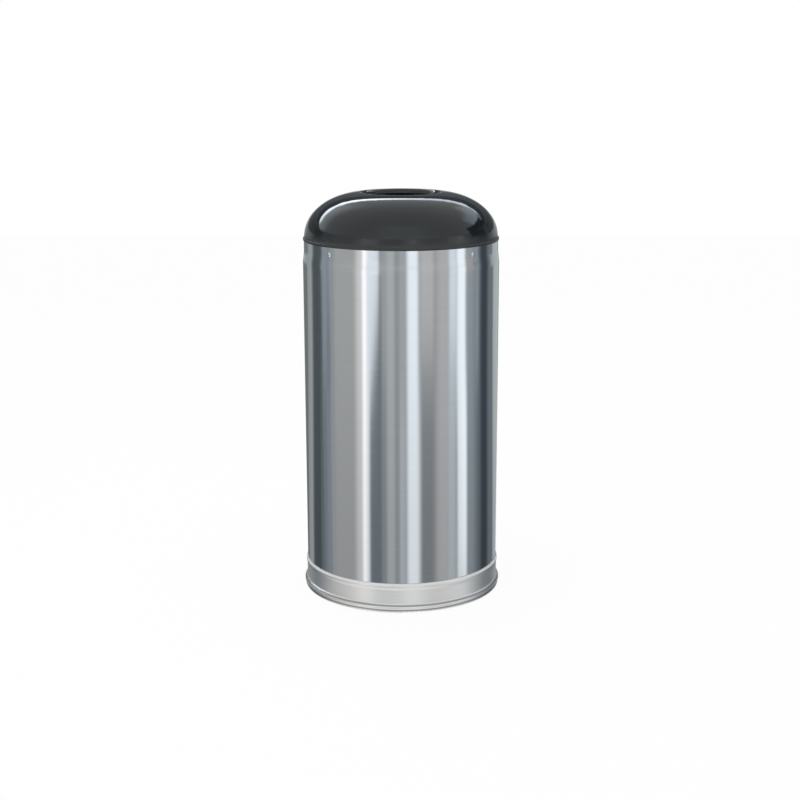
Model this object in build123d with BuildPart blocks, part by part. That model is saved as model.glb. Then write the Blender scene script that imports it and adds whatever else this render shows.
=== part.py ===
from build123d import *

import os
from math import acos, asin, atan, cos, degrees, radians, sin, sqrt

# Round open-top litter bin: a rolled stainless shell on a spun foot ring, a black domed
# lid with a round throat, and a galvanised lift-out liner inside.
# Millimetres. +Z is up, the origin is the centre of the bin on the floor, the front is -Y
# and the shell's seam is at the back.

# ---------------------------------------------------------------- driving dimensions
# Outer shell
shell_radius = 184.5        # outside of the straight wall
shell_sheet = 1.0
shell_top = 673.0
neck_depth = 2.1            # how far the top of the wall is swaged in
neck_height = 18.0
neck_ramp = 24.0
seam_gap = 1.2              # open joint line between the two edges of the rolled sheet
seam_lap = 11.0             # tongue that backs the joint line on each side

# Foot ring
ring_sheet = 1.2
ring_floor_gap = 1.5        # ring above the floor with the feet screwed right in
foot_flare = 6.0            # the bead, the widest point of the bin, past the shell's wall
foot_bead_height = 10.0
foot_bead_half = 4.0
foot_hem_height = 5.0
band_bottom = 17.0
band_top = 44.0
lip_height = 12.0
lip_bulge = 1.3

# Floor pan
pan_sheet = 1.2
pan_skirt = 10.0
pan_bend = 3.0
pan_dish_border = 45.0      # from the feet's circle in to the raised centre
pan_dish_ramp = 8.0
pan_dish_rise = 3.0

# Levelling feet
foot_count = 4
foot_inset = 21.5           # from the shell's wall in to the axes of the feet
stud_radius = 4.0
stud_length = 23.0          # thread above the hexagon
stud_tail_length = 4.6      # end that turns inside the pad
stud_chamfer = 0.8
hex_across_flats = 13.0
hex_height = 5.3
pad_radius = 14.0
pad_top_radius = 9.5
pad_height = 9.0
pad_side = 3.5
pad_socket_depth = 5.0
nut_height = 6.5
thread_clearance = 0.05
pan_hole_clearance = 0.6

# Support ring at the top of the shell
rim_sheet = 1.2
rim_clearance = 0.15        # between the ring and the shell's neck, drawn up by the rivets
rim_height = 22.0
rim_ledge = 12.8            # from the ring's wall to the edge of its bore
rim_lip = 8.0
rim_bend = 1.6

# Rivets that hold the support ring
rivet_count = 4
rivet_rise = 5.0            # above the neck's ramp
rivet_shank = 2.4
rivet_head = 4.2
rivet_head_rise = 1.6
rivet_tail = 3.6
rivet_tail_length = 1.2
rivet_hole_clearance = 0.1  # radial, for these and for the rivets in the liner's ears

# Domed lid
dome_sheet = 1.2
dome_rise = 89.0            # crown of the shoulder's ellipse above the top of the shell
dome_gap = 0.4              # shadow gap between the lid's hem and the shell
dome_hem_inset = 0.7        # inside the line of the shell's wall
dome_hem_height = 5.0
dome_lean = 2.5             # from the hem in to the wall where the shoulder starts
dome_foot_rise = 8.5
throat_radius = 69.5
dome_crest_inset = 1.5      # from the throat's wall in to the centre of the shoulder's ellipse
throat_roll = 8.0
throat_lip = 12.0
throat_hem = 1.2

# Ring inside the lid that locates it in the shell
locator_sheet = 1.0
locator_clearance = 0.6
locator_depth = 9.0         # skirt below the top of the shell
locator_bend = 1.2
bumper_count = 4
bumper_radius = 5.0
bumper_height = 2.0

# Lift-out liner
liner_margin = 16.6         # from the support ring's bore in to the wall, room for the bail
liner_sheet = 0.8
liner_drop = 34.0           # from the top of the shell down to the centre of the rolled rim
liner_floor_rise = 9.0      # liner's floor above its own foot
liner_seam_height = 5.0
liner_fold_gap = 0.2        # between the wall's raw edge and the fold under it
liner_bend = 4.0
liner_bead_rise = 2.2
liner_bead_half = 4.5
liner_bead_count = 2
liner_bead_spacing = 215.0
liner_lap = 12.0            # width of the wall's lapped seam, at the back
liner_lap_gap = 2.0         # seam clear of the fold below and of the curl above
rim_wire_radius = 2.5
rim_wire_clearance = 0.3    # between the wire and the rim curled round it
curl_turn = 300.0           # degrees of the rim's curl

# Ears and bail
ear_sheet = 1.6
ear_clearance = 0.4
ear_foot = 30.0             # rivet line below the rim's centre
ear_rivet_spacing = 17.0
ear_foot_round = 6.5
ear_top_round = 8.0
ear_joggle = 8.0
ear_rivet_shank = 2.0
ear_rivet_head = 3.4
ear_rivet_head_rise = 1.2
bail_wire_radius = 2.5
bail_clearance = 0.3
bail_bend = 3.2
bail_hole_clearance = 0.25
bail_pin_length = 3.0       # beyond the ear
bail_head_radius = 3.8
bail_head_length = 1.2


def write(piece, name):
    """Label a finished piece and write its STEP file."""
    piece.part.label = name
    export_step(piece.part, f"parts/{name}.step")


def section_plane(angle):
    """Upright plane through the bin's axis: local x is radial, local y is up."""
    a = radians(angle)
    return Plane(origin=(0, 0, 0), x_dir=(cos(a), sin(a), 0), z_dir=(sin(a), -cos(a), 0))


def station(radius, angle, height):
    """Plane that faces outwards on a cylinder of this radius, for holes and rivets."""
    a = radians(angle)
    return Plane(
        origin=(radius * cos(a), radius * sin(a), height),
        x_dir=(-sin(a), cos(a), 0),
        z_dir=(cos(a), sin(a), 0),
    )


def joggle(offset, height):
    """Radius and angle of the two equal arcs that shift a sheet sideways."""
    angle = 2 * atan(offset / height)
    return height / (2 * sin(angle)), degrees(angle)


def chord_height(radius, half_width):
    """Distance from a cylinder's axis to a flat of this half width cut on it."""
    return sqrt(radius**2 - half_width**2)


def rivet(head, rise, shank, grip, tail, tail_length):
    """Domed rivet along +Z, with the underside of its head at z = 0."""
    cap_radius = (head**2 + rise**2) / (2 * rise)
    cap_angle = degrees(asin(head / cap_radius))
    with BuildPart() as made:
        with BuildSketch(Plane.XZ):
            with BuildLine():
                cap = CenterArc((0, rise - cap_radius), cap_radius, 90, -cap_angle)
                Polyline(
                    cap @ 1,
                    (shank, 0),
                    (shank, -grip),
                    (tail, -grip),
                    (tail, -grip - tail_length),
                    (0, -grip - tail_length),
                    cap @ 0,
                )
            make_face()
        revolve(axis=Axis.Z)
    return made.part


os.makedirs("parts", exist_ok=True)

# ---------------------------------------------------------------- shared sizes
wall_centre = shell_radius - shell_sheet / 2
wall_inside = shell_radius - shell_sheet
neck_radius = shell_radius - neck_depth
neck_inside = neck_radius - shell_sheet
ramp_bottom = shell_top - neck_height - neck_ramp
pan_under = pad_height + hex_height + nut_height
pan_top = pan_under + pan_sheet
shell_bottom = pan_top - pan_skirt
foot_radius = shell_radius + foot_flare
foot_circle = shell_radius - foot_inset
rim_wall_outside = neck_inside - rim_clearance
rim_wall_inside = rim_wall_outside - rim_sheet
rim_bore = neck_inside - rim_ledge
rivet_height = shell_top - neck_height + rivet_rise
lid_top = shell_top + dome_rise
dome_hem_radius = shell_radius - dome_hem_inset
dome_foot_radius = dome_hem_radius - dome_lean
dome_crest_radius = throat_radius - dome_crest_inset
liner_radius = rim_bore - liner_margin
liner_rim = shell_top - liner_drop
liner_centre = liner_radius - liner_sheet / 2
curl_radius = rim_wire_radius + rim_wire_clearance + liner_sheet / 2
curl_outside = curl_radius + liner_sheet / 2
rim_radius = liner_centre + curl_radius
rim_top = liner_rim + curl_outside
bail_height = rim_top + bail_clearance + bail_wire_radius
foot_angles = [360 / foot_count * (i + 0.5) for i in range(foot_count)]
rivet_angles = [360 / rivet_count * (i + 0.5) for i in range(rivet_count)]
rivet_planes = [station(neck_radius, angle, rivet_height) for angle in rivet_angles]

# ---------------------------------------------------------------- bin body
# Outer shell. The swaged wall runs round from one edge of the seam to the other, and a
# tongue one sheet further in backs the joint line.
neck_arc, neck_turn = joggle(neck_depth, neck_ramp)
seam_angle = degrees(seam_gap / shell_radius)
tongue_angle = seam_angle + 2 * degrees(seam_lap / shell_radius)
tongue_centre = wall_centre - shell_sheet

with BuildPart() as outer_shell:
    with BuildSketch(section_plane(90 + seam_angle / 2)):
        with BuildLine():
            wall = Line((wall_centre, shell_bottom), (wall_centre, ramp_bottom))
            ramp_in = JernArc(wall @ 1, (0, 1), neck_arc, neck_turn)
            ramp_out = JernArc(ramp_in @ 1, ramp_in % 1, neck_arc, -neck_turn)
            Line(ramp_out @ 1, (neck_radius - shell_sheet / 2, shell_top))
        trace(line_width=shell_sheet)
    revolve(axis=Axis.Z, revolution_arc=360 - seam_angle)
    with BuildSketch(section_plane(90 - tongue_angle / 2)):
        with BuildLine():
            Line((tongue_centre, pan_top), (tongue_centre, ramp_bottom))
        trace(line_width=shell_sheet)
    revolve(axis=Axis.Z, revolution_arc=tongue_angle)
    with BuildSketch(*rivet_planes):
        Circle(rivet_shank + rivet_hole_clearance)
    extrude(amount=-2 * shell_sheet, mode=Mode.SUBTRACT)
write(outer_shell, "outer_shell")

# Support ring: a channel inside the neck whose flat top carries the lid.
with BuildPart() as support_ring:
    with BuildSketch(Plane.XZ):
        with BuildLine():
            FilletPolyline(
                (rim_wall_outside - rim_sheet / 2, shell_top - rim_height),
                (rim_wall_outside - rim_sheet / 2, shell_top - rim_sheet / 2),
                (rim_bore + rim_sheet / 2, shell_top - rim_sheet / 2),
                (rim_bore + rim_sheet / 2, shell_top - rim_lip),
                radius=rim_bend,
            )
        trace(line_width=rim_sheet)
    revolve(axis=Axis.Z)
    with BuildSketch(*rivet_planes):
        Circle(rivet_shank + rivet_hole_clearance)
    extrude(amount=-(shell_sheet + 2 * rim_sheet), mode=Mode.SUBTRACT)
write(support_ring, "support_ring")

ring_rivet = rivet(
    rivet_head,
    rivet_head_rise,
    rivet_shank,
    neck_radius - chord_height(rim_wall_inside, rivet_tail),
    rivet_tail,
    rivet_tail_length,
)
with BuildPart() as ring_rivets:
    with Locations(*rivet_planes):
        add(ring_rivet)
write(ring_rivets, "ring_rivets")

# Foot ring: rolled lip, plain band, rolled bead and a hemmed lower edge.
band_centre = shell_radius + ring_sheet / 2
bead_centre = foot_radius - ring_sheet / 2
bead_neck = bead_centre - foot_bead_half / 2
with BuildPart() as foot_ring:
    with BuildSketch(Plane.XZ):
        with BuildLine():
            lip = ThreePointArc(
                (band_centre, band_top + lip_height),
                (band_centre + lip_bulge, band_top + lip_height / 2),
                (band_centre, band_top),
            )
            band = Line(lip @ 1, (band_centre, band_bottom))
            flare = Line(band @ 1, (bead_neck, foot_bead_height + foot_bead_half))
            bead = ThreePointArc(
                flare @ 1,
                (bead_centre, foot_bead_height),
                (bead_neck, foot_bead_height - foot_bead_half),
            )
            Line(bead @ 1, (bead_neck, ring_floor_gap + ring_sheet))
        trace(line_width=ring_sheet)
        with Locations((bead_neck, ring_floor_gap + foot_hem_height / 2)):
            SlotOverall(foot_hem_height, 2 * ring_sheet, rotation=90)
    revolve(axis=Axis.Z)
write(foot_ring, "foot_ring")

# Floor pan: a pressed disc with a raised centre and a skirt inside the shell's foot.
pan_centre = pan_top - pan_sheet / 2
pan_dish_radius = foot_circle - pan_dish_border
skirt_centre = wall_inside - pan_sheet / 2
with BuildPart() as floor_pan:
    with BuildSketch(Plane.XZ):
        with BuildLine():
            FilletPolyline(
                (0, pan_centre + pan_dish_rise),
                (pan_dish_radius, pan_centre + pan_dish_rise),
                (pan_dish_radius + pan_dish_ramp, pan_centre),
                (skirt_centre, pan_centre),
                (skirt_centre, shell_bottom),
                radius=pan_bend,
            )
        trace(line_width=pan_sheet)
    revolve(axis=Axis.Z)
    with BuildSketch(Plane.XY.offset(pan_top)):
        with PolarLocations(foot_circle, foot_count, foot_angles[0]):
            Circle(stud_radius + pan_hole_clearance)
    extrude(amount=-2 * pan_sheet, mode=Mode.SUBTRACT)
write(floor_pan, "floor_pan")

with BuildPart() as weld_nuts:
    with BuildSketch(Plane.XY.offset(pan_under)):
        with PolarLocations(foot_circle, foot_count, foot_angles[0]):
            RegularPolygon(hex_across_flats / 2, 6, major_radius=False)
            Circle(stud_radius + thread_clearance, mode=Mode.SUBTRACT)
    extrude(amount=-nut_height)
write(weld_nuts, "weld_nuts")

# ---------------------------------------------------------------- levelling feet
# Each foot is a pad that stays still on the floor and a stud that turns in it.
foot_names = ("back_right", "back_left", "front_left", "front_right")
for foot_name, angle in zip(foot_names, foot_angles):
    a = radians(angle)
    foot_x = foot_circle * cos(a)
    foot_y = foot_circle * sin(a)
    foot_plane = Plane(origin=(foot_x, foot_y, 0), x_dir=(cos(a), sin(a), 0), z_dir=(0, 0, 1))

    with BuildPart(foot_plane) as foot_pad:
        with BuildSketch(foot_plane):
            Circle(pad_radius)
        extrude(amount=pad_side)
        with BuildSketch(foot_plane.offset(pad_side)):
            Circle(pad_radius)
        with BuildSketch(foot_plane.offset(pad_height)):
            Circle(pad_top_radius)
        loft()
        with BuildSketch(foot_plane.offset(pad_height)):
            Circle(stud_radius + thread_clearance)
        extrude(amount=-pad_socket_depth, mode=Mode.SUBTRACT)
    write(foot_pad, f"{foot_name}_foot_pad")

    with BuildPart(foot_plane) as foot_stud:
        with BuildSketch(foot_plane.offset(pad_height - stud_tail_length)):
            Circle(stud_radius)
        extrude(amount=stud_tail_length + hex_height + stud_length)
        chamfer(foot_stud.edges().group_by(Axis.Z)[-1], stud_chamfer)
        with BuildSketch(foot_plane.offset(pad_height)):
            RegularPolygon(hex_across_flats / 2, 6, major_radius=False)
        extrude(amount=hex_height)
    write(foot_stud, f"{foot_name}_foot_stud")

# ---------------------------------------------------------------- domed lid
# The wall leans in above a doubled hem, follows a quarter ellipse to the crest and rolls
# down into the throat.
hem_centre = dome_hem_radius - dome_sheet
hem_bottom = shell_top + dome_gap
shoulder_bottom = shell_top + dome_foot_rise
half_sheet = dome_sheet / 2
throat_centre = throat_radius + half_sheet
roll_centre = throat_roll - half_sheet
shoulder_x = dome_foot_radius - half_sheet - dome_crest_radius
shoulder_y = lid_top - half_sheet - shoulder_bottom
roll_start = throat_centre + roll_centre - dome_crest_radius
shoulder_turn = degrees(acos(roll_start / shoulder_x))
with BuildPart() as dome_lid:
    with BuildSketch(Plane.XZ):
        with BuildLine():
            shoulder = EllipticalCenterArc(
                (dome_crest_radius, shoulder_bottom),
                shoulder_x,
                shoulder_y,
                arc_size=shoulder_turn,
            )
            Line((hem_centre, hem_bottom + dome_hem_height / 2), shoulder @ 0)
            crest_angle = degrees(atan((shoulder % 1).Y / -(shoulder % 1).X))
            roll = JernArc(shoulder @ 1, shoulder % 1, roll_centre, 90 + crest_angle)
            Line(roll @ 1, roll @ 1 - (0, throat_lip))
        trace(line_width=dome_sheet)
        with Locations((hem_centre, hem_bottom + dome_hem_height / 2)):
            SlotOverall(dome_hem_height, 2 * dome_sheet, rotation=90)
        with Locations(roll @ 1 - (0, throat_lip)):
            Circle(throat_hem)
    revolve(axis=Axis.Z)
write(dome_lid, "dome_lid")

# Locating ring: its web meets the hem, and its skirt drops into the support ring's bore.
hem_inside = dome_hem_radius - 2 * dome_sheet
web_centre = shell_top + bumper_height + locator_sheet / 2
locator_centre = rim_bore - locator_clearance - locator_sheet / 2
with BuildPart() as lid_locating_ring:
    with BuildSketch(Plane.XZ):
        with BuildLine():
            FilletPolyline(
                (hem_inside, web_centre),
                (locator_centre, web_centre),
                (locator_centre, shell_top - locator_depth),
                radius=locator_bend,
            )
        trace(line_width=locator_sheet)
    revolve(axis=Axis.Z)
write(lid_locating_ring, "lid_locating_ring")

bumper_circle = (hem_inside + rim_bore) / 2
with BuildPart() as lid_bumpers:
    with BuildSketch(Plane.XY.offset(shell_top)):
        with PolarLocations(bumper_circle, bumper_count):
            Circle(bumper_radius)
    extrude(amount=bumper_height)
write(lid_bumpers, "lid_bumpers")

# ---------------------------------------------------------------- lift-out liner
# Liner wall: two swaged beads, a lapped seam and a rim curled round a wire.
liner_foot = pan_top
liner_wall_bottom = liner_foot + liner_sheet + liner_fold_gap
ear_rivet_height = liner_rim - ear_foot
ear_rivet_turn = degrees(asin(ear_rivet_spacing / 2 / liner_radius))
ear_rivet_angles = [side + turn for side in (0, 180) for turn in (-ear_rivet_turn, ear_rivet_turn)]
ear_rivet_planes = [
    station(liner_radius + ear_sheet, angle, ear_rivet_height) for angle in ear_rivet_angles
]
lap_angle = degrees(liner_lap / liner_radius)
lap_bottom = liner_foot + liner_seam_height + liner_lap_gap
lap_top = liner_rim - curl_outside - liner_lap_gap


def liner_side(radius, bottom, top):
    """Line up the liner's side at this radius, out over its beads."""
    start = (radius, bottom)
    for bead in range(liner_bead_count):
        bead_height = liner_bead_spacing * (bead + 1)
        run = Line(start, (radius, bead_height - liner_bead_half))
        swage = ThreePointArc(
            run @ 1,
            (radius + liner_bead_rise, bead_height),
            (radius, bead_height + liner_bead_half),
        )
        start = swage @ 1
    Line(start, (radius, top))


with BuildPart() as liner_wall:
    with BuildSketch(Plane.XZ):
        with BuildLine():
            liner_side(liner_centre, liner_wall_bottom, liner_rim)
            CenterArc((rim_radius, liner_rim), curl_radius, 180, -curl_turn)
        trace(line_width=liner_sheet)
    revolve(axis=Axis.Z)
    with BuildSketch(section_plane(90 - lap_angle / 2)):
        with BuildLine():
            liner_side(liner_centre + liner_sheet, lap_bottom, lap_top)
        trace(line_width=liner_sheet)
    revolve(axis=Axis.Z, revolution_arc=lap_angle)
    with BuildSketch(*ear_rivet_planes):
        Circle(ear_rivet_shank + rivet_hole_clearance)
    extrude(amount=-(ear_sheet + 2 * liner_sheet), mode=Mode.SUBTRACT)
write(liner_wall, "liner_wall")

with BuildPart() as liner_rim_wire:
    with BuildSketch(Plane.XZ):
        with Locations((rim_radius, liner_rim)):
            Circle(rim_wire_radius)
    revolve(axis=Axis.Z)
write(liner_rim_wire, "liner_rim_wire")

# Liner bottom: a recessed disc whose edge folds under the wall and up its outside.
fold_inside = liner_centre - liner_sheet
fold_outside = liner_centre + liner_sheet
with BuildPart() as liner_bottom:
    with BuildSketch(Plane.XZ):
        with BuildLine():
            FilletPolyline(
                (0, liner_foot + liner_floor_rise),
                (fold_inside, liner_foot + liner_floor_rise),
                (fold_inside, liner_foot + liner_sheet / 2),
                (fold_outside, liner_foot + liner_sheet / 2),
                (fold_outside, liner_foot + liner_seam_height),
                radius=(liner_bend, liner_sheet * 0.6, liner_sheet * 0.6),
            )
        trace(line_width=liner_sheet)
    revolve(axis=Axis.Z)
write(liner_bottom, "liner_bottom")

# Ears: curved plates riveted to the wall, stepped out past the rim to take the bail.
ear_low = liner_radius + ear_sheet / 2
ear_high = rim_radius + curl_outside + ear_clearance + ear_sheet / 2
ear_arc, ear_turn = joggle(ear_high - ear_low, ear_joggle)
ear_bottom = ear_rivet_height - ear_foot_round
ear_step_top = liner_rim - curl_outside
ear_top = bail_height + ear_top_round
ear_spread = degrees(asin((ear_rivet_spacing / 2 + ear_foot_round) / liner_radius))
ear_outside = ear_high + ear_sheet / 2
for side_name, side_angle in (("right", 0), ("left", 180)):
    outline_plane = station(0, side_angle, 0)
    with BuildPart() as ear:
        with BuildSketch(section_plane(side_angle - ear_spread)):
            with BuildLine():
                foot = Line((ear_low, ear_bottom), (ear_low, ear_step_top - ear_joggle))
                step_out = JernArc(foot @ 1, (0, 1), ear_arc, -ear_turn)
                step_up = JernArc(step_out @ 1, step_out % 1, ear_arc, ear_turn)
                Line(step_up @ 1, (ear_high, ear_top))
            trace(line_width=ear_sheet)
        revolve(axis=Axis.Z, revolution_arc=2 * ear_spread)
        with BuildSketch(outline_plane):
            with Locations(
                (-ear_rivet_spacing / 2, ear_rivet_height),
                (ear_rivet_spacing / 2, ear_rivet_height),
            ):
                Circle(ear_foot_round)
            with Locations((0, bail_height)):
                Circle(ear_top_round)
            make_hull()
            with Locations((0, bail_height)):
                Circle(bail_wire_radius + bail_hole_clearance, mode=Mode.SUBTRACT)
        extrude(amount=ear_outside + ear_sheet, mode=Mode.INTERSECT)
        with BuildSketch(*ear_rivet_planes):
            Circle(ear_rivet_shank + rivet_hole_clearance)
        extrude(amount=-(ear_sheet + 2 * liner_sheet), mode=Mode.SUBTRACT)
    write(ear, f"{side_name}_bail_ear")

ear_rivet = rivet(
    ear_rivet_head,
    ear_rivet_head_rise,
    ear_rivet_shank,
    liner_radius + ear_sheet - chord_height(liner_radius - liner_sheet, ear_rivet_head),
    ear_rivet_head,
    ear_rivet_head_rise,
)
with BuildPart() as ear_rivets:
    with Locations(*ear_rivet_planes):
        add(ear_rivet)
write(ear_rivets, "ear_rivets")

# Bail: a wire that lies on the rim, with its ends turned out through the ears.
pin_end = ear_outside + bail_pin_length
bail_plane = Plane.XY.offset(bail_height)
with BuildPart() as bail_handle:
    with BuildLine(bail_plane) as bail_line:
        Line((pin_end, 0), (rim_radius, 0))
        CenterArc((0, 0), rim_radius, 0, -180)
        Line((-rim_radius, 0), (-pin_end, 0))
        corners = bail_line.vertices().filter_by(lambda v: abs(v.X) < pin_end - bail_bend)
        fillet(corners, bail_bend)
    with BuildSketch(station(pin_end, 0, bail_height)):
        Circle(bail_wire_radius)
    sweep()
    for end_angle in (0, 180):
        with BuildSketch(station(pin_end, end_angle, bail_height)):
            Circle(bail_head_radius)
        extrude(amount=bail_head_length)
write(bail_handle, "bail_handle")
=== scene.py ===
import math

import bpy
from mathutils import Euler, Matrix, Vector

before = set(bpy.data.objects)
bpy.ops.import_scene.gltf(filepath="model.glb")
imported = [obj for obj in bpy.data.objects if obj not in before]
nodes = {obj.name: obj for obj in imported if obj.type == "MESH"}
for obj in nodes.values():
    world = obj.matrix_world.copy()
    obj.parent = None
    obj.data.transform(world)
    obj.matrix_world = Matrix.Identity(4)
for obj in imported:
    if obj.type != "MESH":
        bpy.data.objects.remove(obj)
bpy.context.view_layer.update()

# Round open-top litter bin: materials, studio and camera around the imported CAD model.
# Metres. +Z is up, the floor is z = 0, and the front of the bin faces -Y.

foot_names = ("back_right", "back_left", "front_left", "front_right")

bpy.context.scene.view_settings.view_transform = "Standard"


# ---------------------------------------------------------------- node helpers
def add(tree, kind, inputs=None, **settings):
    """Add a shader node; an input is a value or the socket of another node."""
    node = tree.nodes.new(kind)
    for key, value in settings.items():
        setattr(node, key, value)
    for key, value in (inputs or {}).items():
        if isinstance(value, bpy.types.NodeSocket):
            tree.links.new(value, node.inputs[key])
        else:
            node.inputs[key].default_value = value
    return node


def maths(tree, operation, *values):
    """One maths node and its result."""
    node = add(tree, "ShaderNodeMath", dict(enumerate(values)), operation=operation)
    return node.outputs[0]


def ease(tree, value, start, end, low=0.0, high=1.0):
    """Smooth step from low at start to high at end."""
    node = add(
        tree,
        "ShaderNodeMapRange",
        {"Value": value, "From Min": start, "From Max": end, "To Min": low, "To Max": high},
        interpolation_type="SMOOTHSTEP",
    )
    return node.outputs["Result"]


def spread(tree, value, low=0.0, high=1.0):
    """Smooth step over the range in which most of a noise lies."""
    noise_low, noise_high = 0.3, 0.7
    return ease(tree, value, noise_low, noise_high, low, high)


def blend(tree, factor, a, b):
    """Mix of two colours."""
    node = add(tree, "ShaderNodeMix", {"Factor": factor}, data_type="RGBA")
    for socket, value in ((node.inputs[6], a), (node.inputs[7], b)):
        if isinstance(value, bpy.types.NodeSocket):
            tree.links.new(value, socket)
        else:
            socket.default_value = (*value, 1.0)
    return node.outputs[2]


def tinted(tree, colour, gain):
    """Product of a colour and a factor."""
    inputs = {0: colour, 1: gain}
    return add(tree, "ShaderNodeVectorMath", inputs, operation="MULTIPLY").outputs[0]


def own_place(tree):
    """The point on a piece in the piece's own coordinates, in metres."""
    return add(tree, "ShaderNodeTexCoord").outputs["Object"]


def own_height(tree):
    """The height of the point on a piece in the piece's own coordinates."""
    return add(tree, "ShaderNodeSeparateXYZ", {"Vector": own_place(tree)}).outputs["Z"]


def scaled(tree, waves):
    """The piece's own coordinates, scaled to this many waves a metre along each axis."""
    if not isinstance(waves, tuple):
        waves = (waves, waves, waves)
    inputs = {"Vector": own_place(tree), "Scale": waves}
    return add(tree, "ShaderNodeMapping", inputs).outputs["Vector"]


def noise(tree, waves, detail):
    """Value of a noise with this many waves a metre along each axis."""
    inputs = {"Vector": scaled(tree, waves), "Scale": 1.0, "Detail": detail}
    return add(tree, "ShaderNodeTexNoise", inputs).outputs["Fac"]


def new_material(name, **values):
    """Empty material with a Principled shader, whose uniform values sit on its sockets."""
    material = bpy.data.materials.new(name)
    material.use_nodes = True
    tree = material.node_tree
    tree.nodes.clear()
    shader = add(tree, "ShaderNodeBsdfPrincipled", values)
    add(tree, "ShaderNodeOutputMaterial", {"Surface": shader.outputs["BSDF"]})
    return material, tree, shader


def dress(tree, shader, colour, roughness, relief, depth):
    """Link a colour, a roughness and a fine relief with its depth in metres."""
    bump = add(tree, "ShaderNodeBump", {"Height": relief, "Distance": depth, "Strength": 1.0})
    tree.links.new(colour, shader.inputs["Base Color"])
    tree.links.new(roughness, shader.inputs["Roughness"])
    tree.links.new(bump.outputs["Normal"], shader.inputs["Normal"])


# ---------------------------------------------------------------- materials
grain_waves = (4.0, 4.0, 5200.0)        # waves a metre along X, Y and Z
stroke_waves = (14.0, 14.0, 1900.0)
smudge_waves = (5.0, 5.0, 3.0)
quarter_turn = 0.25                     # of the anisotropy, in whole turns


def brushed_steel(name, tone, shadow_tone, rough_low, rough_high, grain_depth, anisotropy):
    """Stainless sheet with its grain running round the bin."""
    material, tree, shader = new_material(name, Metallic=1.0, Anisotropic=anisotropy)
    shader.inputs["Anisotropic Rotation"].default_value = quarter_turn
    tangent = add(tree, "ShaderNodeTangent", direction_type="RADIAL", axis="Z")
    tree.links.new(tangent.outputs["Tangent"], shader.inputs["Tangent"])
    grain = noise(tree, grain_waves, detail=2.0)
    strokes = noise(tree, stroke_waves, detail=3.0)
    smudges = noise(tree, smudge_waves, detail=3.0)
    colour = blend(tree, spread(tree, strokes), shadow_tone, tone)
    half = 0.5
    wear = maths(tree, "MULTIPLY_ADD", smudges, half, maths(tree, "MULTIPLY", strokes, half))
    dress(tree, shader, colour, spread(tree, wear, rough_low, rough_high), grain, grain_depth)
    return material


def paint_crease_shade(material, creases, half_width, tone):
    """Paint shade into a steel's colour where its section turns in, at these heights."""
    core = 0.2 * half_width
    tree = material.node_tree
    base = tree.nodes["Principled BSDF"].inputs["Base Color"]
    colour = base.links[0].from_socket
    height = own_height(tree)
    for crease in creases:
        off = maths(tree, "ABSOLUTE", maths(tree, "SUBTRACT", height, crease))
        colour = blend(tree, ease(tree, off, half_width, core), colour, tone)
    tree.links.new(colour, base)


def finish_past(material, start, end, **targets):
    """Shift a finish towards other values between two heights; both uses here paint light into
    the colour, along with a change of gloss.
    """
    tree = material.node_tree
    shader = tree.nodes["Principled BSDF"]
    share = ease(tree, own_height(tree), start, end)
    for name, target in targets.items():
        socket = shader.inputs[name.replace("_", " ")]
        before = socket.links[0].from_socket if socket.links else socket.default_value
        if isinstance(target, tuple):
            after = blend(tree, share, before, target)
        else:
            change = maths(tree, "SUBTRACT", target, before)
            after = maths(tree, "MULTIPLY_ADD", share, change, before)
        tree.links.new(after, socket)


def gloss_black(name, tone, rough_low, rough_high, peel_depth):
    """Powder coat: near black, with a slight orange peel."""
    dust_gain = 1.5
    material, tree, shader = new_material(name)
    peel = noise(tree, waves=420.0, detail=2.0)
    cloud = noise(tree, waves=11.0, detail=4.0)
    dust = tuple(dust_gain * channel for channel in tone)
    colour = blend(tree, cloud, tone, dust)
    dress(tree, shader, colour, spread(tree, cloud, rough_low, rough_high), peel, peel_depth)
    return material


def zinc_plate(name):
    """Bright zinc plating with a faint cloudy passivation."""
    grey = (0.57, 0.58, 0.58)
    straw = (0.66, 0.66, 0.62)
    material, tree, shader = new_material(name, Metallic=1.0)
    cloud = noise(tree, waves=28.0, detail=5.0)
    grit = noise(tree, waves=900.0, detail=2.0)
    colour = blend(tree, ease(tree, cloud, start=0.35, end=0.65), grey, straw)
    roughness = spread(tree, cloud, low=0.28, high=0.42)
    dress(tree, shader, colour, roughness, grit, depth=1e-5)
    return material


def galvanised(name):
    """Hot-dip galvanised sheet: flat spangles, each with its own tone and gloss."""
    dark = (0.46, 0.48, 0.49)
    light = (0.66, 0.68, 0.69)
    material, tree, shader = new_material(name, Metallic=1.0)
    inputs = {0: scaled(tree, waves=85.0), 1: noise(tree, waves=160.0, detail=2.0)}
    warped = add(tree, "ShaderNodeVectorMath", inputs, operation="ADD").outputs[0]
    spangle = add(tree, "ShaderNodeTexVoronoi", {"Vector": warped, "Scale": 1.0})
    tone = add(tree, "ShaderNodeSeparateColor", {"Color": spangle.outputs["Color"]})
    flake = tone.outputs["Red"]
    colour = blend(tree, flake, dark, light)
    roughness = ease(tree, flake, start=0.0, end=1.0, low=0.3, high=0.5)
    dress(tree, shader, colour, roughness, flake, depth=2e-5)
    return material


def bright_rivet(name):
    """Bright rivet heads with fine forming marks."""
    dark = (0.62, 0.63, 0.64)
    light = (0.8, 0.81, 0.82)
    material, tree, shader = new_material(name, Metallic=1.0)
    marks = noise(tree, waves=700.0, detail=3.0)
    colour = blend(tree, marks, dark, light)
    roughness = spread(tree, marks, low=0.15, high=0.3)
    dress(tree, shader, colour, roughness, marks, depth=3e-5)
    return material


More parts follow.
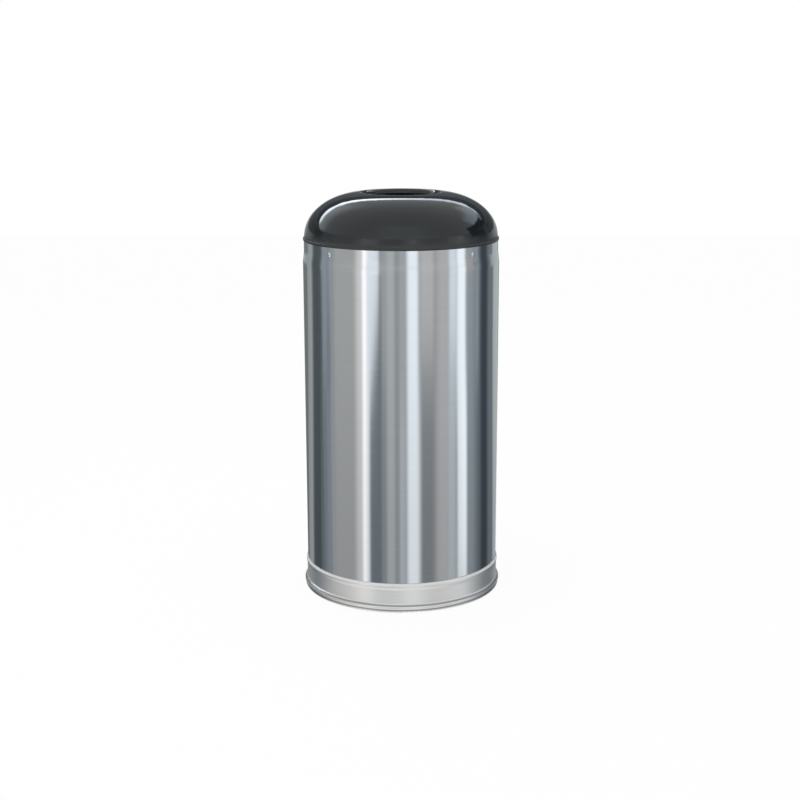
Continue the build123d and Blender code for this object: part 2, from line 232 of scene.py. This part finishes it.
def moulded(name, tone, rough_low, rough_high, grain_size, depth):
    """Moulded rubber or nylon with a fine even grain."""
    pale_gain = 1.6
    material, tree, shader = new_material(name)
    grain = noise(tree, waves=1 / grain_size, detail=3.0)
    pale = tuple(pale_gain * channel for channel in tone)
    colour = blend(tree, grain, tone, pale)
    dress(tree, shader, colour, spread(tree, grain, rough_low, rough_high), grain, depth)
    return material


def reach(name):
    """Lowest and highest height of a piece in its own coordinates."""
    heights = [vertex.co.z for vertex in nodes[name].data.vertices]
    return min(heights), max(heights)


ring_foot, ring_top = reach("foot_ring")
ring_creases = (ring_foot + 0.0127, ring_foot + 0.0041)     # painted shade lines above the bead and under it
crease_half_width = 0.0022
lip_highlight_from = ring_top - 0.00525      # painted highlight: the upper half of the lip is paler, matte and less metallic
lip_highlight_to = ring_top - 0.00325
lid_foot = reach("dome_lid")[0]
lid_paling_from = lid_foot + 0.0286      # painted light: the lid turns paler, and its finish rougher, from here down to its foot
lid_palest_from = lid_foot + 0.0006

shell_steel = brushed_steel(
    "shell_steel",
    tone=(0.635, 0.645, 0.65),
    shadow_tone=(0.605, 0.615, 0.625),
    rough_low=0.1,
    rough_high=0.13,
    grain_depth=5e-7,
    anisotropy=0.6,
)
ring_steel = brushed_steel(
    "ring_steel",
    tone=(0.85, 0.83, 0.815),
    shadow_tone=(0.81, 0.79, 0.775),
    rough_low=0.4,
    rough_high=0.46,
    grain_depth=1e-6,
    anisotropy=0.3,
)
# painted shade: dark lines in the ring's creases above and under its bead
paint_crease_shade(ring_steel, ring_creases, crease_half_width, tone=(0.34, 0.34, 0.33))
# painted highlight along the lip's top: its upper half turns paler, rougher and less metallic
finish_past(
    ring_steel,
    lip_highlight_from,
    lip_highlight_to,
    Base_Color=(0.79, 0.79, 0.79),
    Roughness=0.5,
    Metallic=0.25,
)
lid_black = gloss_black(
    "lid_black", tone=(0.008, 0.009, 0.010), rough_low=0.02, rough_high=0.035, peel_depth=3e-7
)
# painted light: the lid's colour is lifted towards its foot, where its finish also turns rougher
finish_past(
    lid_black,
    lid_paling_from,
    lid_palest_from,
    Base_Color=(0.026, 0.027, 0.027),
    Roughness=0.42,
)
inner_black = gloss_black(
    "inner_black", tone=(0.012, 0.012, 0.013), rough_low=0.3, rough_high=0.4, peel_depth=4e-6
)
zinc = zinc_plate("zinc_plate")
spangled = galvanised("galvanised_sheet")
rivet_bright = bright_rivet("rivet_bright")
rubber = moulded(
    "bumper_rubber",
    tone=(0.018, 0.018, 0.018),
    rough_low=0.6,
    rough_high=0.75,
    grain_size=0.0006,
    depth=3e-5,
)
nylon = moulded(
    "pad_nylon_grain",
    tone=(0.03, 0.03, 0.032),
    rough_low=0.4,
    rough_high=0.55,
    grain_size=0.0009,
    depth=2e-5,
)

finishes = {
    shell_steel: ("outer_shell",),
    ring_steel: ("foot_ring",),
    lid_black: ("dome_lid",),
    inner_black: ("lid_locating_ring",),
    zinc: ("support_ring", "floor_pan", "weld_nuts", "bail_handle")
    + tuple(f"{name}_foot_stud" for name in foot_names),
    rivet_bright: ("ring_rivets", "ear_rivets"),
    spangled: ("liner_wall", "liner_rim_wire", "liner_bottom", "right_bail_ear", "left_bail_ear"),
    rubber: ("lid_bumpers",),
    nylon: tuple(f"{name}_foot_pad" for name in foot_names),
}
for material, names in finishes.items():
    for name in names:
        for slot in nodes[name].material_slots:
            slot.material = material


# ---------------------------------------------------------------- studio directions
world = bpy.data.worlds.new("studio")
bpy.context.scene.world = world
world.use_nodes = True
sky = world.node_tree
sky.nodes.clear()

direction = add(sky, "ShaderNodeTexCoord").outputs["Generated"]
axes = add(sky, "ShaderNodeSeparateXYZ", {"Vector": direction})
height = axes.outputs["Z"]
backwards = axes.outputs["Y"]
forwards = maths(sky, "MULTIPLY", backwards, -1.0)
azimuth = maths(sky, "ARCTAN2", axes.outputs["X"], forwards)    # 0 towards the camera
nearly_zero = 0.001
slope = maths(sky, "DIVIDE", height, maths(sky, "MAXIMUM", backwards, nearly_zero))


def window(centre, half_width, softness, turn=azimuth):
    """Mask of the directions within half_width degrees of this azimuth."""
    offset = maths(sky, "SUBTRACT", turn, math.radians(centre))
    turned = maths(sky, "ABSOLUTE", maths(sky, "WRAP", offset, math.pi, -math.pi))
    inner = math.radians(half_width - softness / 2)
    outer = math.radians(half_width + softness / 2)
    return ease(sky, turned, outer, inner)


def edge(value, measure, at, softness):
    """Mask of the directions above this angle, in degrees, with a soft edge."""
    low = measure(math.radians(at - softness / 2))
    high = measure(math.radians(at + softness / 2))
    return ease(sky, value, low, high)


def above(elevation, softness):
    """Mask of the directions over this elevation."""
    return edge(height, math.sin, elevation, softness)


def over_slope(angle, softness):
    """Mask of the directions over this slope up from straight behind."""
    return edge(slope, math.tan, angle, softness)


def outside(mask):
    """The rest of a mask."""
    return maths(sky, "SUBTRACT", 1.0, mask)


def both(*masks):
    """Product of masks."""
    product = masks[0]
    for mask in masks[1:]:
        product = maths(sky, "MULTIPLY", product, mask)
    return product


def patch(sides, foot=None, head=None, turn=azimuth):
    """Mask between two upright sides, over a lower edge and under an upper edge.

    Sides are an azimuth, a half-width and a softness. An edge is its measure (above or
    over_slope), its angle and its softness.
    """
    mask = window(*sides, turn)
    if foot:
        mask = both(mask, foot[0](*foot[1:]))
    if head:
        mask = both(mask, outside(head[0](*head[1:])))
    return mask


# ---------------------------------------------------------------- studio cards
# Upright cards round the set, seen below the horizon in the wall and just above it in the
# lid's foot, with the later ones in front of the earlier. Each has its azimuth from the
# camera towards the right, its half-width and softness, the elevations of its foot and its
# head, all in degrees, and its colour.
card_foot = -60
card_head = 16
cards = (
    (180, 55, 14, card_foot, -22, (0.12, 0.13, 0.13)),
    (180, 48, 12, 3, card_head, (0.14, 0.15, 0.16)),
    (-168, 23, 10, -22, 3, (0.36, 0.40, 0.41)),
    (169, 21, 10, -22, 3, (0.49, 0.54, 0.55)),
    (-170, 14, 5, -22, -6, (0.18, 0.20, 0.20)),
    (-75, 17, 10, card_foot, card_head, (0.49, 0.50, 0.50)),
    (-103, 13, 12, card_foot, card_head, (0.34, 0.38, 0.42)),
    (-108, 6, 10, card_foot, -12, (0.21, 0.25, 0.28)),
    (-98, 4, 6, -12.5, -9.5, (0.25, 0.28, 0.31)),
    (-113, 3, 6, -12, -8, (0.20, 0.23, 0.26)),
    (-124.5, 12, 10, card_foot, card_head, (0.10, 0.12, 0.13)),
    (-50, 6, 10, card_foot, card_head, (0.84, 0.84, 0.84)),
    (-44, 3.5, 4, card_foot, card_head, (1.54, 1.54, 1.55)),
    (-34, 8, 5, card_foot, card_head, (1.06, 1.14, 1.21)),
    (-20.5, 3.5, 5, card_foot, -12, (0.33, 0.36, 0.37)),
    (-22.5, 4, 5, -12, card_head, (0.46, 0.49, 0.50)),
    (-12, 5, 5, card_foot, card_head, (0.56, 0.60, 0.59)),
    (-5, 3, 4, card_foot, card_head, (0.39, 0.42, 0.43)),
    (1, 3, 3, card_foot, -13, (0.62, 0.66, 0.70)),
    (1, 3, 3, -13, card_head, (0.48, 0.51, 0.54)),
    (14, 7, 6, card_foot, card_head, (1.18, 1.26, 1.33)),
    (20, 4.5, 6, card_foot, -13, (1.18, 1.26, 1.33)),
    (31, 9, 9, card_foot, card_head, (0.27, 0.30, 0.32)),
    (31, 9, 8, -11.8, card_head, (0.64, 0.64, 0.64)),
    (51.5, 7.5, 10, card_foot, card_head, (0.59, 0.59, 0.60)),
    (63, 5, 5, card_foot, card_head, (0.62, 0.68, 0.73)),
    (66, 6, 5, -11, card_head, (0.93, 1.01, 1.08)),
    (71, 2.5, 5, -13, card_head, (0.80, 0.86, 0.92)),
    (77.5, 6, 5, card_foot, card_head, (1.24, 1.34, 1.40)),
    (82.5, 4, 5, card_foot, -12, (1.38, 1.48, 1.54)),
    (80, 18, 12, card_foot, -21, (0.60, 0.60, 0.60)),
    (94, 8, 6, card_foot, -7, (0.36, 0.41, 0.45)),
    (119, 19, 14, card_foot, card_head, (0.18, 0.21, 0.24)),
    (140.5, 7, 5, -22, -6, (0.19, 0.22, 0.25)),
    (104, 4, 8, -12, card_head, (0.34, 0.39, 0.43)),
    (120, 8.5, 10, card_foot, card_head, (0.06, 0.075, 0.09)),
)
card_end_softness = 2
card_gap = (0.45, 0.46, 0.47)
wall_foot = math.sin(math.radians(-21))     # where the wall mirrors the cards, from its
wall_head = math.sin(math.radians(-8))      # foot to its head
card_gain = (0.86, 1.06)            # of the cards' light, at the wall's foot and its head
card_lean = 0.074                   # the cards stand wider apart towards their tops
card_lean_limit = 3.0               # on the tangent of half the azimuth, which they lean by
wedge_sides = (-31.0, 7.5, 4)       # a dark card with its upper left corner cut at a slant
wedge_cut = 0.7
wedge_cut_softness = 6
wedge_slant = -3.0                  # radians that the cut turns by for each unit of height
wedge_level = (0.20, 0.23, 0.26)
streak_sides = (-101, 13, 10)       # fine streaks over one stretch of the cards
streak_gain = (0.72, 1.3)
streaks_per_radian = 24.0

# The floor under the cards: white, and darker in these stretches.
floor_head = -30
floor_head_softness = 10
floor_level = (0.96, 0.96, 0.96)
floor_patches = (
    ((85, 15, 14), (0.50, 0.50, 0.50)),
    ((180, 70, 30), (0.30, 0.30, 0.30)),
    ((180, 55, 20), (0.10, 0.10, 0.10)),
)

# Above the cards: a plain room, a long strip light behind the set with a dark edge under
# it, a glow over its left half, a fill light at the right and dark flags under it. The
# strip is straight, so it lies between two slopes up from straight behind.
room_foot_softness = 8
room_level = (0.78, 0.78, 0.79)
strip_foot = (over_slope, 30.5, 2)
strip_head = (over_slope, 35.5, 5)
flag_level = (0.04, 0.06, 0.08)
room_patches = (
    ((0, 34, 40), None, (above, 62, 20), (0.90, 1.03, 0.99)),
    ((180, 78, 24), None, strip_foot, (0.10, 0.12, 0.14)),
    ((-132, 24, 20), strip_foot, (over_slope, 48, 24), (1.35, 1.5, 1.62)),
    ((-159, 29, 10), strip_foot, strip_head, (5.8, 6.3, 6.7)),
    ((163, 17, 14), strip_foot, strip_head, (3.0, 3.3, 3.6)),
    ((131, 21, 8), (above, 28.5, 3), (above, 42, 9), (1.35, 1.6, 1.8)),
    ((114, 21, 5), None, (above, 28.5, 3), flag_level),
)
low_flag = ((100, 8, 5), (above, 5, 5), (above, 20, 3))
haze = 0.12                         # share of the plain room in what the lid's foot sees
haze_sides = (0, 88, 14)
haze_foot = (above, 4, 6)

half_turn = maths(sky, "TANGENT", maths(sky, "MULTIPLY", azimuth, 0.5))
half_turn = maths(sky, "MAXIMUM", half_turn, -card_lean_limit)
half_turn = maths(sky, "MINIMUM", half_turn, card_lean_limit)
lean = ease(sky, height, wall_foot, wall_head, 0.0, card_lean)
leaning = maths(sky, "MULTIPLY_ADD", half_turn, lean, azimuth)

walls = card_gap
for *sides, foot, head, colour in cards:
    foot_edge = (above, foot, card_end_softness)
    head_edge = (above, head, card_end_softness)
    walls = blend(sky, patch(sides, foot_edge, head_edge, leaning), walls, colour)

slanting = maths(sky, "MINIMUM", height, wall_head)
slanting = maths(sky, "MULTIPLY_ADD", slanting, wedge_slant, leaning)
cut_start = math.radians(wedge_cut - wedge_cut_softness / 2)
cut_end = math.radians(wedge_cut + wedge_cut_softness / 2)
wedge = both(window(*wedge_sides, leaning), ease(sky, slanting, cut_start, cut_end))
walls = blend(sky, wedge, walls, wedge_level)
walls = tinted(sky, walls, ease(sky, height, wall_foot, wall_head, *card_gain))

fine = add(
    sky,
    "ShaderNodeTexNoise",
    {"W": azimuth, "Scale": streaks_per_radian, "Detail": 2.0},
    noise_dimensions="1D",
)
streaks = maths(sky, "SUBTRACT", spread(sky, fine.outputs[0], *streak_gain), 1.0)
streaks = maths(sky, "MULTIPLY_ADD", streaks, window(*streak_sides), 1.0)
walls = tinted(sky, walls, streaks)

floor_seen = floor_level
for sides, colour in floor_patches:
    floor_seen = blend(sky, window(*sides), floor_seen, colour)
walls = blend(sky, outside(above(floor_head, floor_head_softness)), walls, floor_seen)
walls = blend(sky, both(haze, patch(haze_sides, haze_foot)), walls, room_level)

upper = room_level
for sides, foot_edge, head_edge, colour in room_patches:
    upper = blend(sky, patch(sides, foot_edge, head_edge), upper, colour)
studio = blend(sky, above(card_head, room_foot_softness), walls, upper)
studio = blend(sky, patch(*low_flag), studio, flag_level)

# The camera sees white, gloss sees the studio, and plain surfaces get an even light.
white = (1.0, 1.0, 1.0, 1.0)
plain_strength = 0.8
rays = add(sky, "ShaderNodeLightPath")
gloss_light = add(sky, "ShaderNodeBackground", {"Color": studio, "Strength": 1.0})
plain_light = add(sky, "ShaderNodeBackground", {"Color": white, "Strength": plain_strength})
white_view = add(sky, "ShaderNodeBackground", {"Color": white, "Strength": 1.0})
lit = add(
    sky,
    "ShaderNodeMixShader",
    {0: rays.outputs["Is Diffuse Ray"], 1: gloss_light.outputs[0], 2: plain_light.outputs[0]},
)
seen = add(
    sky,
    "ShaderNodeMixShader",
    {0: rays.outputs["Is Camera Ray"], 1: lit.outputs[0], 2: white_view.outputs[0]},
)
add(sky, "ShaderNodeOutputWorld", {"Surface": seen.outputs[0]})


# ---------------------------------------------------------------- lamp and floor
def area_lamp(name, place, aim, width, power):
    """Soft square lamp at place, turned towards aim."""
    data = bpy.data.lights.new(name, "AREA")
    data.shape = "SQUARE"
    data.size = width
    data.energy = power
    lamp = bpy.data.objects.new(name, data)
    lamp.location = place
    lamp.rotation_euler = (Vector(aim) - Vector(place)).to_track_quat("-Z", "Y").to_euler()
    lamp.visible_glossy = False
    bpy.context.scene.collection.objects.link(lamp)


area_lamp(
    "overhead_softbox", place=(-0.5, -0.4, 2.6), aim=(0.0, 0.0, 0.4), width=1.8, power=14.0
)

# Floor: a pale sheet that reads as white to the camera and still takes the bin's shadow.
floor_half = 6.0
floor_white_share = 0.92            # of plain white in what the camera sees of it
paper_waves = 60.0
paper_tones = ((0.94, 0.94, 0.94), (0.97, 0.97, 0.97))

floor_corners = ((-1, -1), (1, -1), (1, 1), (-1, 1))
floor_mesh = bpy.data.meshes.new("studio_floor")
floor_mesh.from_pydata(
    [(x * floor_half, y * floor_half, 0.0) for x, y in floor_corners], [], [(0, 1, 2, 3)]
)
floor = bpy.data.objects.new("studio_floor", floor_mesh)
bpy.context.scene.collection.objects.link(floor)
floor.visible_glossy = False
floor_material = bpy.data.materials.new("studio_floor_white")
floor_material.use_nodes = True
sheet = floor_material.node_tree
sheet.nodes.clear()
paper_colour = blend(sheet, noise(sheet, paper_waves, detail=4.0), *paper_tones)
paper_diffuse = add(sheet, "ShaderNodeBsdfDiffuse", {"Color": paper_colour})
paper_white = add(sheet, "ShaderNodeEmission", {"Color": white, "Strength": 1.0})
floor_rays = add(sheet, "ShaderNodeLightPath")
seen_share = maths(sheet, "MULTIPLY", floor_rays.outputs["Is Camera Ray"], floor_white_share)
floor_mix = add(
    sheet,
    "ShaderNodeMixShader",
    {0: seen_share, 1: paper_diffuse.outputs[0], 2: paper_white.outputs[0]},
)
add(sheet, "ShaderNodeOutputMaterial", {"Surface": floor_mix.outputs[0]})
floor_mesh.materials.append(floor_material)

# ---------------------------------------------------------------- camera
camera_distance = 2.7
camera_height = 0.985
camera_pitch = 0.2264               # downwards; the three angles are in radians
camera_yaw = 0.001
camera_roll = -0.003
camera_lens = 64.7                  # in mm, as the sensor is
camera_sensor = 36.0

camera_data = bpy.data.cameras.new("camera")
camera_data.lens = camera_lens
camera_data.sensor_width = camera_sensor
camera = bpy.data.objects.new("camera", camera_data)
camera.location = (0.0, -camera_distance, camera_height)
turned = Euler((math.pi / 2 - camera_pitch, 0.0, camera_yaw)).to_matrix()
rolled = Euler((0.0, 0.0, camera_roll)).to_matrix()
camera.rotation_euler = (turned @ rolled).to_euler()
bpy.context.scene.collection.objects.link(camera)
bpy.context.scene.camera = camera
